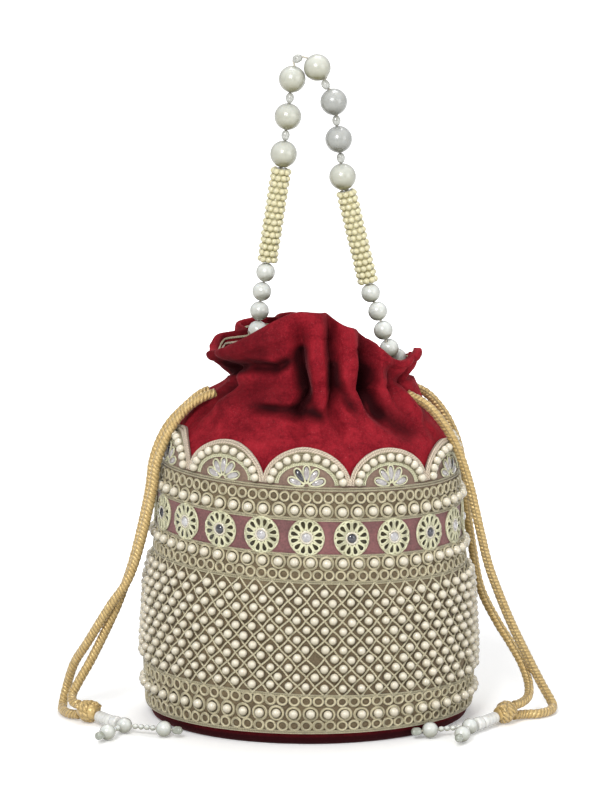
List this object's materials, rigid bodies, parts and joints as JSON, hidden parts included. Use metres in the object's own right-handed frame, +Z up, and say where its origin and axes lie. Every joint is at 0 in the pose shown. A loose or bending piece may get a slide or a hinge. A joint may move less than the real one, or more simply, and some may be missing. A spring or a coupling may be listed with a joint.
{
  "type": "potli bag",
  "caption": "Gathered velvet pouch in a scalloped embroidered sleeve, with a swinging strung-pearl handle and rope drawstrings ending in beaded tassels",
  "frame": {"origin": "middle of the flat base, on the surface that the bag stands on", "axes": "+Z up through the bag, -Y toward the front, +X to the right seen from the front"},
  "size_m": [0.2613, 0.151, 0.3486],
  "materials": {
    "velvet": "deep red cotton velvet, soft pile, gathered and frilled at the neck",
    "lining": "plain cream satin",
    "board": "stiff board covered in plain cloth",
    "embroidery": "net and silk worked all over with cream metallic thread, small pearls and set stones",
    "pearl": "imitation pearl, soft lustre",
    "seed_pearl": "small imitation pearls, cream, woven or strung",
    "thread": "waxed cream beading thread",
    "rope": "twisted gold metallic rope",
    "bead": "milky moulded beads"
  },
  "bodies": {
    "pouch": {"velvet_pouch": "velvet", "handle_tab_left": "velvet", "handle_tab_right": "velvet", "lining_bag": "lining", "base_board": "board", "embroidered_sleeve": "embroidery", "left_round_pearl": "pearl", "left_long_drop_pearl": "pearl", "left_short_drop_pearl": "pearl", "right_round_pearl": "pearl", "right_long_drop_pearl": "pearl", "right_short_drop_pearl": "pearl", "left_long_seed_strand": "seed_pearl", "left_short_seed_strand": "seed_pearl", "right_long_seed_strand": "seed_pearl", "right_short_seed_strand": "seed_pearl", "drawstring_left_front": "rope", "drawstring_left_back": "rope", "drawstring_right_front": "rope", "drawstring_right_back": "rope", "left_rope_knot": "rope", "right_rope_knot": "rope", "left_tube_bead": "bead", "left_barrel_bead": "bead", "left_long_end_bead": "bead", "left_short_end_bead": "bead", "right_tube_bead": "bead", "right_barrel_bead": "bead", "right_long_end_bead": "bead", "right_short_end_bead": "bead"},
    "handle": {"medium_pearl_1": "pearl", "medium_pearl_2": "pearl", "medium_pearl_3": "pearl", "medium_pearl_4": "pearl", "medium_pearl_5": "pearl", "medium_pearl_6": "pearl", "medium_pearl_7": "pearl", "medium_pearl_8": "pearl", "medium_pearl_9": "pearl", "medium_pearl_10": "pearl", "medium_pearl_11": "pearl", "woven_pearl_tube_1": "seed_pearl", "woven_pearl_tube_2": "seed_pearl", "big_pearl_1": "pearl", "big_pearl_2": "pearl", "big_pearl_3": "pearl", "big_pearl_4": "pearl", "big_pearl_5": "pearl", "big_pearl_6": "pearl", "big_pearl_7": "pearl", "spacer_bead_1": "pearl", "spacer_bead_2": "pearl", "spacer_bead_3": "pearl", "spacer_bead_4": "pearl", "spacer_bead_5": "pearl", "spacer_bead_6": "pearl", "handle_thread": "thread"}
  },
  "joints": [
    {"name": "handle_swing", "type": "hinge", "parent": "pouch", "child": "handle", "pos_m": [0, 0, 0.18934], "axis": [1, 0, 0], "range_deg": [-40, 10]}
  ]
}
